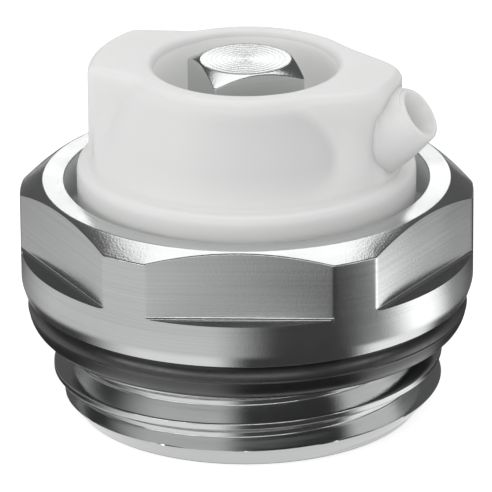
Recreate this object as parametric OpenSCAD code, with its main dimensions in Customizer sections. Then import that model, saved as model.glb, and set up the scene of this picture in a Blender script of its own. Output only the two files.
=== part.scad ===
// Self-sealing radiator bleed plug, G 1/2, with a square bleed screw and a plastic outlet head that turns.
// The origin is the centre of the lower end face, +Z runs up along the plug's axis and the unit is the millimetre.
// Angles are measured from +X towards +Y. The outlet spout looks to the right front.

/* [Pipe thread] */
// Outer diameter of the pipe thread's crests
thread_d = 20.8; // [20.4:0.05:21.2]
// Distance from one crest to the next
thread_pitch = 1.814; // [1.5:0.01:2.2]
// Depth of the thread as a share of its pitch
thread_depth_share = 0.6064; // [0.4:0.0001:0.64]
// Height of the threaded length above the end face
thread_len = 4.4; // [3.9:0.1:6]
// How far the end face's edge lies inside the thread's root
end_face_inset = 0.15; // [0.1:0.05:0.5]
// Height of the lead-in chamfer
lead_chamfer_h = 1.5; // [0.8:0.1:2]

/* [Collar] */
// How far the round collar stands out past its O-ring
collar_lip = 0.35; // [0.25:0.01:0.6]
// Height of the collar
collar_h = 6.11; // [5.4:0.01:7]
// Distance across the six flats
flats_af = 22; // [21.6:0.1:22.6]
// Height of the flats, measured down from the top face
flats_h = 3.7; // [3:0.1:4.4]
// Corner radius that the milling cutter leaves at the foot of a flat
flat_foot_r = 0.4; // [0.2:0.05:0.6]
// Angle of the flat that looks to the front
flats_angle = -92.3; // [-120:0.1:-60]
// How far the outer edge of the flat ring on top lies inside the flats
ring_inset = 0.15; // [0:0.05:0.4]
// Width of the flat ring on top
ring_w = 1.15; // [0.9:0.05:1.4]
// Slope of the chamfer outside the ring
crown_angle = 31; // [20:1:40]
// Height of the small chamfer under the collar
rim_chamfer_h = 0.6; // [0.2:0.05:0.9]
// Width of the small chamfer under the collar
rim_chamfer_w = 0.2; // [0.1:0.05:0.4]

/* [Collar seal] */
// Thickness of the collar O-ring, which sits on a neck as thick as the thread's root
collar_ring_t = 2.4; // [2.2:0.02:2.8]
// Slope of the collar's underside, which rises towards the neck and seats the O-ring
collar_seat_angle = 13.5; // [5:0.5:18]
// Clearance of the O-ring between the thread and the collar
collar_ring_gap = 0.04; // [0.02:0.01:0.1]

/* [Inside of the plug] */
// Diameter of the hollow that opens towards the radiator
hollow_d = 14; // [12:0.2:15]
// Depth of the hollow
hollow_h = 6.2; // [5:0.1:6.8]
// Thickness of the web between the hollow and the screw's bore
web_t = 1.5; // [1.2:0.1:1.8]
// Diameter of the hole through the valve seat
seat_hole_d = 2.2; // [1.6:0.1:2.6]
// Width of the raised lip round the hole
seat_lip_w = 0.5; // [0.3:0.05:0.7]
// Height of the raised lip
seat_lip_h = 0.3; // [0.2:0.05:0.4]
// Depth of the recess that holds the outlet head, below the ring
recess_h = 2.3; // [2:0.05:2.6]

/* [Spigot] */
// Diameter of the spigot that the outlet head turns on
spigot_d = 8.8; // [8.6:0.05:9]
// Height of the spigot above the recess floor
spigot_h = 2.6; // [2.5:0.05:2.8]
// Chamfer on the spigot's upper edge
spigot_chamfer = 0.2; // [0.1:0.05:0.3]
// Depth of the snap groove
snap_groove_depth = 0.3; // [0.2:0.05:0.35]
// Height of the snap groove
snap_groove_h = 0.6; // [0.5:0.05:0.7]
// Thickness of the spigot O-ring
spigot_ring_t = 0.8; // [0.7:0.05:0.85]

/* [Outlet head] */
// Height of the head's top face above the ring
head_rise = 6.4; // [5.8:0.05:7]
// Gap between the head's flange and the wall of the recess
flange_gap = 0.7; // [0.3:0.05:1]
// Height of the flange above the ring
flange_rise = 1.1; // [0.8:0.1:1.5]
// Radius of the flange's upper edge
flange_edge_r = 0.6; // [0.3:0.05:0.8]
// Step from the flange's edge in to the round ends of both lobes
lobe_step = 0.65; // [0.5:0.05:1.2]
// Outer radius of the cup wall at the top
cup_outer_r = 6.05; // [5.8:0.05:6.2]
// Inner diameter of the cup
cup_d = 9.8; // [9.4:0.1:10.2]
// Depth of the cup
cup_h = 3.7; // [3:0.05:3.9]
// Radius of the cup's rim
cup_rim_r = 0.4; // [0.2:0.05:0.5]
// Radius of the outer top edge
top_edge_r = 0.5; // [0.3:0.05:0.7]
// Radius of the sweep from the sides of the lobes out to the flange
flare_r = 3.8; // [3:0.1:4.2]
// Direction of the spout
spout_angle = -20; // [-60:1:20]
// Angle between a side of the spout lobe and its axis
spout_lobe_taper = 30; // [27:1:34]
// Distance of the sides of the spout lobe from the plug's axis
spout_lobe_side = 5.93; // [5.7:0.01:6]
// Angle between a side of the grip lobe and its axis
grip_lobe_taper = 16; // [13:1:20]
// Distance of the sides of the grip lobe from the plug's axis
grip_lobe_side = 5.12; // [5:0.02:5.4]

/* [Spout] */
// Upward tilt of the spout
spout_tilt = 35.5; // [30:0.5:40]
// Diameter of the spout's mouth
mouth_d = 2.95; // [2.7:0.05:3.2]
// Diameter of the spout's root
spout_root_d = 4.4; // [4:0.1:4.8]
// Diameter of the spout's bore
spout_bore_d = 1.9; // [1.5:0.1:2.1]
// How far the mouth's centre stands out past the lobe's end
mouth_out = 1.35; // [1.1:0.05:1.8]
// Height of the mouth's centre above the ring
mouth_rise = 4.7; // [4.4:0.05:5]
// Length of the spout's cone
spout_len = 3; // [2.6:0.1:3.4]

/* [Bleed screw] */
// Width across the square head, for a 5 mm radiator key
key_af = 5; // [4.8:0.05:5.2]
// Height of the square above the cup's rim
key_rise = 0.2; // [0.1:0.05:0.8]
// Diameter of the turned face on top of the square
key_top_d = 4.8; // [4.6:0.05:5]
// Height of the chamfer from the turned face to the corners
key_chamfer_h = 0.55; // [0.4:0.05:0.7]
// Rounding of the square's four edges
key_edge_r = 0.12; // [0.05:0.01:0.2]
// Diameter of the flange under the square
screw_flange_d = 8; // [7.6:0.1:8.4]
// Thickness of the flange under the square
screw_flange_t = 0.6; // [0.5:0.05:0.9]
// Outer diameter of the screw's thread
screw_d = 5.9; // [5.8:0.02:5.94]
// Width cut from the thread's side for the vent
vent_depth = 0.5; // [0.4:0.05:0.7]
// Thickness of the shank O-ring
shank_ring_t = 0.95; // [0.85:0.05:1]
// Thickness of the seat washer
washer_t = 1; // [0.8:0.05:1.2]
// Depth of the washer in the screw's tip
washer_seat = 0.75; // [0.6:0.05:0.8]
// Wall round the washer
washer_wall = 0.6; // [0.5:0.05:0.7]

/* [Fits] */
// Radial clearance between parts that turn on each other
turn_gap = 0.05; // [0.03:0.01:0.1]
// Clearance between faces that pass over each other
face_gap = 0.1; // [0.05:0.01:0.15]
// Clearance round an O-ring that slides or turns
seal_gap = 0.03; // [0.02:0.01:0.05]

/* [Hidden] */
$fn = 72;

// Overrun of a cut past the face that it opens
overrun = 0.2;

// Radii of the plug body, from the thread out to the collar and in again to the head
thread_r = thread_d / 2;
thread_depth = thread_pitch * thread_depth_share;
root_r = thread_r - thread_depth;
end_face_r = root_r - end_face_inset;
neck_r = root_r - seal_gap;
collar_ring_mid_r = root_r + collar_ring_t / 2;
collar_r = root_r + collar_ring_t + collar_lip;
collar_edge_r = collar_r - rim_chamfer_w;
ring_r = min(flats_af / 2, collar_r) - ring_inset;
recess_r = ring_r - ring_w;
flange_r = recess_r - flange_gap;
lobe_end_r = flange_r - lobe_step;
mouth_reach = lobe_end_r + mouth_out;

// Heights in the plug body, from the end face up
collar_ring_z = thread_len + collar_ring_gap + collar_ring_t / 2;
collar_z = collar_ring_z + (collar_ring_t / 2 + collar_ring_gap - (collar_edge_r - collar_ring_mid_r) * sin(collar_seat_angle)) / cos(collar_seat_angle);
collar_seat_z = collar_z + (collar_edge_r - neck_r) * tan(collar_seat_angle);
ring_z = collar_z + collar_h;
crown_z = ring_z - (collar_r - ring_r) * tan(crown_angle);
flats_foot_z = ring_z - flats_h;
recess_z = ring_z - recess_h;
spigot_top_z = recess_z + spigot_h;
bore_floor_z = hollow_h + web_t;
seat_z = bore_floor_z + seat_lip_h;

// Snap groove and O-ring groove on the spigot
snap_place_share = 0.15;
snap_groove_z = recess_z + spigot_h * snap_place_share;
spigot_groove_wall = 0.35;
spigot_groove_h = spigot_ring_t + collar_ring_gap * 2;
spigot_groove_z = spigot_top_z - spigot_groove_wall - spigot_groove_h;
spigot_r = spigot_d / 2;
spigot_groove_r = spigot_r + turn_gap * 2 - seal_gap - spigot_ring_t - seal_gap;
snap_groove_r = spigot_r - snap_groove_depth;

// Outlet head, from the recess floor up
head_bore_r = spigot_r + turn_gap * 2;
head_foot_z = recess_z + face_gap;
head_top_z = ring_z + head_rise;
cup_floor_z = head_top_z - cup_h;
flange_top_z = ring_z + flange_rise;
flare_top_z = flange_top_z + flare_r;
wall_foot_inset = 0.2;
wall_foot_r = lobe_end_r - wall_foot_inset;
head_floor_t = 1.2;
sleeve_gap = 0.4;
chamber_top_z = cup_floor_z - head_floor_t;
sleeve_foot_z = spigot_top_z + sleeve_gap;
sleeve_wall = 0.7;
skirt_wall = 1.2;
skirt_core_wall = 1.4;
skirt_hollow_h = 1.6;

// Bleed screw, from the seat up
screw_bore_r = screw_d / 2 + turn_gap;
shank_hole_margin = 0.1;
shank_hole_r = screw_bore_r + shank_hole_margin;
shank_r = shank_hole_r - turn_gap;
shank_ring_mid_r = shank_hole_r - seal_gap - shank_ring_t / 2;
shank_groove_r = shank_ring_mid_r - shank_ring_t / 2 - seal_gap;
shank_groove_h = shank_ring_t + seal_gap * 2;
shank_groove_rise = 0.1;
shank_groove_z = sleeve_foot_z + shank_groove_rise;
screw_tip_z = seat_z + washer_t - washer_seat;
screw_thread_top_z = spigot_top_z;
screw_flange_z = cup_floor_z + turn_gap;
key_foot_z = screw_flange_z + screw_flange_t;
key_top_z = head_top_z + key_rise;
washer_r = screw_d / 2 - washer_wall;
vent_top_z = spigot_top_z + turn_gap;

// Thread ridge: a 55 degree profile with equal flats on crest and root
thread_half_angle = 27.5;
thread_flat = (thread_pitch - 2 * thread_depth * tan(thread_half_angle)) / 2;
ridge_sink = 0.3;
ridge_over = 0.2;
ridge_steps = 36;
crest_phase_share = 0.72;

// Smallest and largest of two radii with a soft blend over the width k
function soft_max(a, b, k) = max(a, b) + pow(max(k - abs(a - b), 0), 2) / (4 * k);
function soft_min(a, b, k) = -soft_max(-a, -b, k);
function polar(r, a, z) = [r * cos(a), r * sin(a), z];

// One turned piece: the outline is given as radius and height
module turned(points) {
    rotate_extrude() polygon(points);
}

module o_ring(mid_r, section_d, z) {
    translate([0, 0, z]) rotate_extrude() translate([mid_r, 0]) circle(d = section_d);
}

// Helical ridge that is wider than the thread's depth at both sides and is trimmed to the thread by its envelope
ridge_root_r = root_r - ridge_sink;
ridge_crest_r = thread_r + ridge_over;
ridge_root_half = thread_flat / 2 + (thread_depth + ridge_sink) * tan(thread_half_angle);
ridge_crest_half = thread_flat / 2 - ridge_over * tan(thread_half_angle);
ridge_turns = ceil(thread_len / thread_pitch) + 1;

module thread_ridge() {
    count = ridge_turns * ridge_steps;
    section = [
        [ridge_root_r, -ridge_root_half], [ridge_crest_r, -ridge_crest_half],
        [ridge_crest_r, ridge_crest_half], [ridge_root_r, ridge_root_half]
    ];
    sides = len(section);
    points = [
        for (i = [0 : count], p = section)
            let (turn = i / ridge_steps)
            polar(p[0], 360 * turn, p[1] + (turn - 1 + crest_phase_share) * thread_pitch)
    ];
    walls = [
        for (i = [0 : count - 1], j = [0 : sides - 1])
            let (a = i * sides + j, b = i * sides + (j + 1) % sides)
            each [[a, b, a + sides], [b, b + sides, a + sides]]
    ];
    foot = [for (j = [0 : sides - 1]) sides - 1 - j];
    end = [for (j = [0 : sides - 1]) count * sides + j];
    intersection() {
        polyhedron(points = points, faces = concat([foot], walls, [end]), convexity = ridge_turns);
        thread_envelope();
    }
}

// Turned blank of the thread with its lead-in chamfer
module thread_envelope() {
    inner_r = root_r - ridge_sink / 2;
    turned([
        [inner_r, 0], [end_face_r, 0], [thread_r, lead_chamfer_h], [thread_r, thread_len], [inner_r, thread_len]
    ]);
}

// Everything on the plug body that is turned: end face, neck, collar, recess, spigot and bores
module plug_blank() {
    turned([
        [hollow_d / 2, 0], [end_face_r, 0],
        [root_r, lead_chamfer_h * (root_r - end_face_r) / (thread_r - end_face_r)],
        [root_r, thread_len], [neck_r, thread_len], [neck_r, collar_seat_z],
        [collar_edge_r, collar_z], [collar_r, collar_z + rim_chamfer_h],
        [collar_r, crown_z], [ring_r, ring_z], [recess_r, ring_z],
        [recess_r, recess_z], [spigot_r, recess_z],
        [spigot_r, snap_groove_z], [snap_groove_r, snap_groove_z],
        [snap_groove_r, snap_groove_z + snap_groove_h], [spigot_r, snap_groove_z + snap_groove_h],
        [spigot_r, spigot_groove_z], [spigot_groove_r, spigot_groove_z],
        [spigot_groove_r, spigot_groove_z + spigot_groove_h], [spigot_r, spigot_groove_z + spigot_groove_h],
        [spigot_r, spigot_top_z - spigot_chamfer], [spigot_r - spigot_chamfer, spigot_top_z],
        [screw_bore_r, spigot_top_z], [screw_bore_r, bore_floor_z],
        [seat_hole_d / 2 + seat_lip_w, bore_floor_z], [seat_hole_d / 2 + seat_lip_w / 2, seat_z],
        [seat_hole_d / 2, seat_z], [seat_hole_d / 2, hollow_h], [hollow_d / 2, hollow_h]
    ]);
}

// Cutter for one flat, with the rounded corner that it leaves at the flat's foot
module flat_cutter() {
    depth = collar_r;
    height = flats_h + overrun;
    rotate([90, 0, 0])
        linear_extrude(height = 2 * collar_r, center = true)
            translate([flats_af / 2, flats_foot_z]) {
                translate([flat_foot_r, 0]) square([depth, height]);
                translate([0, flat_foot_r]) square([depth, height - flat_foot_r]);
                translate([flat_foot_r, flat_foot_r]) circle(r = flat_foot_r);
            }
}

module plug_body() {
    flats = 6;
    color("silver") difference() {
        union() {
            plug_blank();
            thread_ridge();
        }
        for (i = [0 : flats - 1]) rotate(flats_angle + i * 360 / flats) flat_cutter();
    }
}

module collar_o_ring() {
    color("#1c1c1e") o_ring(collar_ring_mid_r, collar_ring_t, collar_ring_z);
}

module spigot_o_ring() {
    ring_r = head_bore_r - seal_gap - spigot_ring_t / 2;
    color("#1c1c1e") o_ring(ring_r, spigot_ring_t, spigot_groove_z + spigot_groove_h / 2);
}

// Outline of the outlet head at each height: a cup wall that leans out to the flange, and two lobes with a round end and
// sides that sweep out to the flange
wall_blend = 0.8;
foot_blend = 0.9;
spout_end_blend = 1;
grip_end_blend = 0.15;
lobe_steps = 72;
edge_steps = 4;
flare_steps = 7;
function flare(z) = z > flare_top_z ? 0 : flare_r - sqrt(pow(flare_r, 2) - pow(min(flare_top_z - z, flare_r), 2));
function cup_wall_r(z) =
    cup_outer_r + (wall_foot_r - cup_outer_r) * (head_top_z - max(z, flange_top_z)) / (head_top_z - flange_top_z);
function lobe_r(away, z, taper, side, end_blend) =
    let (
        flank = away + taper < 90 ? side / sin(away + taper) : side * sin(away + taper),
        swept = max(flank, soft_min(flank + flare(z), wall_foot_r, foot_blend))
    )
    soft_min(swept, lobe_end_r, end_blend);
function shell_r(a, z) =
    let (
        spout = lobe_r(acos(cos(a)), z, spout_lobe_taper, spout_lobe_side, spout_end_blend),
        grip = lobe_r(acos(-cos(a)), z, grip_lobe_taper, grip_lobe_side, grip_end_blend)
    )
    soft_max(cup_wall_r(z), max(spout, grip), wall_blend);

module outlet_shell() {
    foot_z = ring_z;
    levels = concat(
        [[foot_z, 0]],
        [for (i = [0 : flare_steps]) [flange_top_z + flare_r * (1 - cos(90 * i / flare_steps)), 0]],
        [for (i = [0 : edge_steps])
            let (t = 90 * i / edge_steps)
            [head_top_z - top_edge_r * (1 - sin(t)), top_edge_r * (1 - cos(t))]]
    );
    points = [
        for (level = levels, i = [0 : lobe_steps - 1])
            let (a = i * 360 / lobe_steps)
            polar(shell_r(a, level[0]) - level[1], a, level[0])
    ];
    walls = [
        for (k = [0 : len(levels) - 2], i = [0 : lobe_steps - 1])
            let (a = k * lobe_steps + i, b = k * lobe_steps + (i + 1) % lobe_steps)
            each [[a, a + lobe_steps, b], [b, a + lobe_steps, b + lobe_steps]]
    ];
    foot = [for (i = [0 : lobe_steps - 1]) i];
    top = [for (i = [0 : lobe_steps - 1]) (len(levels)) * lobe_steps - 1 - i];
    polyhedron(points = points, faces = concat([foot], walls, [top]));
}

module along_spout() {
    translate([mouth_reach, 0, ring_z + mouth_rise]) rotate([0, 90 - spout_tilt, 0]) children();
}

module outlet_head() {
    rim_r = cup_d / 2;
    color("whitesmoke") rotate(spout_angle) difference() {
        union() {
            outlet_shell();
            turned([
                [0, head_foot_z], [flange_r, head_foot_z], [flange_r, flange_top_z - flange_edge_r],
                [flange_r - flange_edge_r * (1 - cos(45)), flange_top_z - flange_edge_r * (1 - sin(45))],
                [flange_r - flange_edge_r, flange_top_z], [0, flange_top_z]
            ]);
            along_spout() translate([0, 0, -spout_len])
                cylinder(d1 = spout_root_d, d2 = mouth_d, h = spout_len);
        }
        // Cup with its rounded rim, and the hole for the screw's shank
        translate([0, 0, cup_floor_z]) cylinder(r = rim_r, h = cup_h + overrun);
        translate([0, 0, head_top_z - cup_rim_r])
            cylinder(r1 = rim_r, r2 = rim_r + cup_rim_r, h = cup_rim_r);
        translate([0, 0, head_foot_z - overrun]) cylinder(r = shank_hole_r, h = cup_floor_z - head_foot_z + 2 * overrun);
        // Bore over the spigot, with the snap bead, and the air chamber round the sleeve
        difference() {
            translate([0, 0, head_foot_z - overrun]) cylinder(r = head_bore_r, h = chamber_top_z - head_foot_z + overrun);
            translate([0, 0, sleeve_foot_z])
                cylinder(r = shank_hole_r + sleeve_wall, h = chamber_top_z - sleeve_foot_z + overrun);
            snap_bead();
        }
        // Hollow between the bore's wall and the skirt
        turned([
            [head_bore_r + skirt_core_wall, head_foot_z - overrun], [flange_r - skirt_wall, head_foot_z - overrun],
            [flange_r - skirt_wall, head_foot_z + skirt_hollow_h],
            [head_bore_r + skirt_core_wall, head_foot_z + skirt_hollow_h]
        ]);
        // Air channel from the chamber to the mouth
        along_spout() translate([0, 0, -channel_len]) cylinder(d = spout_bore_d, h = channel_len + overrun);
    }
}
channel_len = (mouth_reach - head_bore_r + spout_bore_d / 2 * sin(spout_tilt)) / cos(spout_tilt);

// Ring of plastic inside the bore that snaps into the spigot's groove
module snap_bead() {
    bead_r = snap_groove_r + turn_gap * 2;
    middle = snap_groove_z + snap_groove_h / 2;
    half = snap_groove_h / 2 - face_gap;
    slope = half * bead_slope_share;
    turned([
        [head_bore_r + overrun, middle - half], [head_bore_r, middle - half], [bead_r, middle - slope],
        [bead_r, middle + slope], [head_bore_r, middle + half], [head_bore_r + overrun, middle + half]
    ]);
}
bead_slope_share = 0.4;

// Square with rounded edges, cut by the turned chamfer on its top
module key_square() {
    height = key_top_z - key_foot_z;
    corner_r = key_af / sqrt(2);
    core = key_af - 2 * key_edge_r;
    intersection() {
        translate([0, 0, key_foot_z]) linear_extrude(height = height) {
            square([key_af, core], center = true);
            square([core, key_af], center = true);
            for (x = [-core / 2, core / 2], y = [-core / 2, core / 2]) translate([x, y]) circle(r = key_edge_r);
        }
        turned([
            [0, key_foot_z], [corner_r, key_foot_z], [corner_r, key_top_z - key_chamfer_h],
            [key_top_d / 2, key_top_z], [0, key_top_z]
        ]);
    }
}

module bleed_screw() {
    screw_r = screw_d / 2;
    color("silver") rotate(key_angle) {
        key_square();
        difference() {
            turned([
                [0, screw_tip_z], [screw_r, screw_tip_z], [screw_r, screw_thread_top_z],
                [shank_r, screw_thread_top_z], [shank_r, shank_groove_z], [shank_groove_r, shank_groove_z],
                [shank_groove_r, shank_groove_z + shank_groove_h], [shank_r, shank_groove_z + shank_groove_h],
                [shank_r, screw_flange_z], [screw_flange_d / 2, screw_flange_z],
                [screw_flange_d / 2, key_foot_z], [0, key_foot_z]
            ]);
            // Pocket for the washer
            translate([0, 0, screw_tip_z - overrun]) cylinder(r = washer_r, h = washer_seat + overrun);
            // Flat along the thread that lets the air past
            translate([screw_r - vent_depth, -screw_r, screw_tip_z - overrun])
                cube([screw_d, screw_d, vent_top_z - screw_tip_z + overrun]);
        }
    }
}
key_angle = 17;

module shank_o_ring() {
    color("#1c1c1e") o_ring(shank_ring_mid_r, shank_ring_t, shank_groove_z + shank_groove_h / 2);
}

module seat_washer() {
    color("#1c1c1e") translate([0, 0, seat_z]) cylinder(r = washer_r, h = washer_t);
}

plug_body();
collar_o_ring();
spigot_o_ring();
outlet_head();
bleed_screw();
shank_o_ring();
seat_washer();
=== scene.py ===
"""Looks of the G 1/2 radiator bleed plug: nickel-plated brass body, white outlet head, bleed screw and rubber rings."""
import logging
import math
from dataclasses import dataclass, field
from enum import Enum
from typing import Callable, Optional, Sequence

import bmesh
import bpy
import numpy as np
from mathutils import Matrix, Vector


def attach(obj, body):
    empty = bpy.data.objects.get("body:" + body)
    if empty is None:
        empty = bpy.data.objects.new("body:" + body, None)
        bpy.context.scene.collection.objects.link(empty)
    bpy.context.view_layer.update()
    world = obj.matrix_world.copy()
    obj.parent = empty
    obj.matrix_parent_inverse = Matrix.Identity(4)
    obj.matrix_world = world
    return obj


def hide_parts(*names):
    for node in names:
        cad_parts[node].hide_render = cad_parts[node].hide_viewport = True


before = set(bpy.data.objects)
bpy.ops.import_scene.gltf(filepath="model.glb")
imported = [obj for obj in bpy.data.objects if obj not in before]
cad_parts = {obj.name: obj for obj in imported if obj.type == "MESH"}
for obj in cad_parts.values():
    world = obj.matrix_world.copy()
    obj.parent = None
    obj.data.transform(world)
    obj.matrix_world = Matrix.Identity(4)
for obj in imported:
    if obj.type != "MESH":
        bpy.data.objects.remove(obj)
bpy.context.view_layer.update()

LOG = logging.getLogger("bleed_plug")
MM = 0.001
TAU = 2 * math.pi


def smooth_max(a: np.ndarray, b: np.ndarray, width: float) -> np.ndarray:
    """The larger of two radii, blended over a width where they are near each other.

    Args:
        a: First radius in millimetres.
        b: Second radius in millimetres.
        width: How far apart the two may be and still be blended.

    Returns:
        max(a, b) plus (width - |a - b|) squared over four widths, where that bracket is above zero.
    """
    near = np.clip(width - np.abs(a - b), 0.0, None)
    return np.maximum(a, b) + near**2 / (4.0 * width)


def smooth_min(a: np.ndarray, b: np.ndarray, width: float) -> np.ndarray:
    """The smaller of two radii, blended in the same way."""
    return -smooth_max(-np.asarray(a), -np.asarray(b), width)


def turn_to(angle: np.ndarray, centre: float) -> np.ndarray:
    """Angle from a centre direction, in degrees between -180 and 180."""
    return (angle - centre + 180.0) % 360.0 - 180.0


@dataclass
class Section:
    """Rows of a surface that closes round the plug's axis: each row has a radius and a height at every angle.

    Attributes:
        angles: The columns' angles in degrees.
        radii: One array of radii a row, in millimetres.
        heights: One array of heights a row, in millimetres.
        zones: The material zone of the band below each row.
    """

    angles: np.ndarray
    radii: list[np.ndarray] = field(default_factory=list)
    heights: list[np.ndarray] = field(default_factory=list)
    zones: list[int] = field(default_factory=list)

    def row(self, radius: np.ndarray | float, height: np.ndarray | float, zone: int) -> None:
        """Adds one row.

        Args:
            radius: Radius at every angle, or one for all.
            height: Height at every angle, or one for all.
            zone: Material zone of the band that ends at this row.
        """
        ones = np.ones_like(self.angles)
        self.radii.append(ones * radius)
        self.heights.append(ones * height)
        self.zones.append(zone)

    def line(self, start: tuple, end: tuple, steps: int, zone: int) -> None:
        """Adds rows on a straight line, after its start and up to its end.

        Args:
            start: Radius and height where the line starts.
            end: Radius and height where it ends.
            steps: Number of rows.
            zone: Material zone of the new bands.
        """
        for share in np.linspace(0.0, 1.0, steps + 1)[1:]:
            self.row(start[0] + (end[0] - start[0]) * share, start[1] + (end[1] - start[1]) * share, zone)

    def corner(self, before: tuple, point: tuple, after: tuple, radius: float, zone: int, steps: int = 4) -> None:
        """Adds the rows of a rounded corner: a quadratic curve that leaves both sides a radius away from the corner.

        Args:
            before: Radius and height of a point on the side that arrives.
            point: Radius and height of the corner.
            after: Radius and height of a point on the side that leaves.
            radius: Distance from the corner at which the curve starts and ends.
            zone: Material zone of the new bands.
            steps: Number of bands on the curve.
        """
        ones = np.ones_like(self.angles)
        p, a, b = (np.stack([ones * q[0], ones * q[1]]) for q in (point, before, after))
        to_a, to_b = a - p, b - p
        len_a = np.maximum(np.linalg.norm(to_a, axis=0), 1e-9)
        len_b = np.maximum(np.linalg.norm(to_b, axis=0), 1e-9)
        reach = np.minimum(radius, np.minimum(len_a, len_b) * 0.5)
        first = p + to_a / len_a * reach
        last = p + to_b / len_b * reach
        for share in np.linspace(0.0, 1.0, steps + 1):
            q = first * (1 - share) ** 2 + p * 2 * share * (1 - share) + last * share**2
            self.row(q[0], q[1], zone)

    def path(self, corners: Sequence[tuple], radii: Sequence[float], zones: Sequence[int], steps: int = 4) -> None:
        """Adds rows along a line through corners that are rounded one by one.

        Args:
            corners: Radius and height of each corner. The first and last are the path's ends.
            radii: Rounding of each corner, zero for a sharp one.
            zones: Material zone of the side that leads to each corner.
            steps: Number of bands on each rounding.
        """
        for i, (corner, radius) in enumerate(zip(corners, radii)):
            if radius and 0 < i < len(corners) - 1:
                self.corner(corners[i - 1], corner, corners[i + 1], radius, zones[i], steps)
            else:
                self.row(corner[0], corner[1], zones[i])

    def grid(self) -> np.ndarray:
        """The rows as an array of points in metres, rows by columns by three."""
        r, z = np.array(self.radii), np.array(self.heights)
        a = np.radians(self.angles)
        return np.stack([r * np.cos(a), r * np.sin(a), z], axis=-1) * MM


class Shell:
    """Patches of quads that are put together into one closed mesh."""

    def __init__(self) -> None:
        """Starts an empty shell."""
        self.points: list[np.ndarray] = []
        self.quads: list[np.ndarray] = []
        self.zones: list[np.ndarray] = []
        self.count = 0

    def patch(self, grid: np.ndarray, zones: Sequence[int], seam_shift: int = 0, closed: bool = False) -> None:
        """Adds a grid whose columns close round the axis.

        Args:
            grid: Rows by columns by three, in metres.
            zones: Material zone of each row; the first is used only if the rows close.
            seam_shift: Rows by which the last column meets the first, for a helix.
            closed: Whether the last row joins the first.
        """
        rows, cols = grid.shape[:2]
        index = np.arange(rows * cols).reshape(rows, cols) + self.count
        last = rows if closed else rows - 1
        low = index[np.arange(last)]
        high = index[(np.arange(last) + 1) % rows]
        if seam_shift:
            next_low = np.concatenate([low[:, 1:], index[np.minimum(np.arange(last) + seam_shift, rows - 1), :1]], 1)
            next_high = np.concatenate([high[:, 1:], index[np.minimum(np.arange(last) + 1 + seam_shift, rows - 1), :1]], 1)
        else:
            next_low, next_high = np.roll(low, -1, axis=1), np.roll(high, -1, axis=1)
        quads = np.stack([low, next_low, next_high, high], axis=-1).reshape(-1, 4)
        zone = np.array([zones[(k + 1) % rows] for k in range(last)])
        self.points.append(grid.reshape(-1, 3))
        self.quads.append(quads)
        self.zones.append(np.repeat(zone, cols))
        self.count += rows * cols

    def build(self, name: str, materials: Sequence[bpy.types.Material], sharp: float = 35.0) -> bpy.types.Object:
        """Makes the object: merges the patches' common edges and shades smooth except across sharp edges.

        Args:
            name: Name of the piece.
            materials: One material a zone.
            sharp: Angle in degrees above which an edge stays sharp.

        Returns:
            The object, linked to the scene.
        """
        mesh = bpy.data.meshes.new(name)
        mesh.from_pydata(np.concatenate(self.points), [], np.concatenate(self.quads).tolist())
        mesh.polygons.foreach_set("material_index", np.concatenate(self.zones).astype(np.int32))
        work = bmesh.new()
        work.from_mesh(mesh)
        bmesh.ops.remove_doubles(work, verts=work.verts, dist=2e-7)
        bmesh.ops.dissolve_degenerate(work, edges=work.edges, dist=1e-7)
        bmesh.ops.recalc_face_normals(work, faces=work.faces)
        work.to_mesh(mesh)
        work.free()
        mesh.polygons.foreach_set("use_smooth", np.ones(len(mesh.polygons), bool))
        mesh.set_sharp_from_angle(angle=math.radians(sharp))
        for material in materials:
            mesh.materials.append(material)
        mesh.update()
        piece = bpy.data.objects.new(name, mesh)
        bpy.context.scene.collection.objects.link(piece)
        return piece


def linear_colour(code: str) -> tuple[float, float, float, float]:
    """Turns an sRGB hex colour into linear light.

    Args:
        code: Six hex digits after a hash.

    Returns:
        Linear red, green and blue, with an alpha of one.
    """
    shares = [int(code[i : i + 2], 16) / 255 for i in (1, 3, 5)]
    return (*[s / 12.92 if s <= 0.04045 else ((s + 0.055) / 1.055) ** 2.4 for s in shares], 1.0)


def add(tree: bpy.types.NodeTree, kind: str, settings: Optional[dict] = None, **links: object) -> bpy.types.Node:
    """Adds one node to a tree, with its settings and links.

    Args:
        tree: The material's or world's node tree.
        kind: Name of the node's type, without the words Shader and Node in front.
        settings: Values of the node's own attributes.
        links: Input sockets by name, with underscores for spaces and in<number> for a socket by its place.
            A value is an output socket to link from or a plain value.

    Returns:
        The new node.
    """
    node = tree.nodes.new("ShaderNode" + kind)
    for key, value in (settings or {}).items():
        setattr(node, key, value)
    for key, value in links.items():
        socket = node.inputs[int(key[2:])] if key[:2] == "in" and key[2:].isdigit() else node.inputs[key.replace("_", " ")]
        if isinstance(value, bpy.types.NodeSocket):
            tree.links.new(value, socket)
        else:
            socket.default_value = value
    return node


class Grain(Enum):
    """Direction and form of the cut marks on a metal face."""

    ALONG_WALL = "level lines round or across an upright wall"
    CONCENTRIC = "rings round the plug's axis"
    RINGS = "even rings round the plug's axis, one for each turn of the facing tool"


def new_material(name: str) -> tuple[bpy.types.Material, bpy.types.NodeTree]:
    """Makes a material with an empty node tree.

    Args:
        name: The material's name.

    Returns:
        The material and its tree.
    """
    material = bpy.data.materials.new(name)
    material.use_nodes = True
    material.node_tree.nodes.clear()
    return material, material.node_tree


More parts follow.
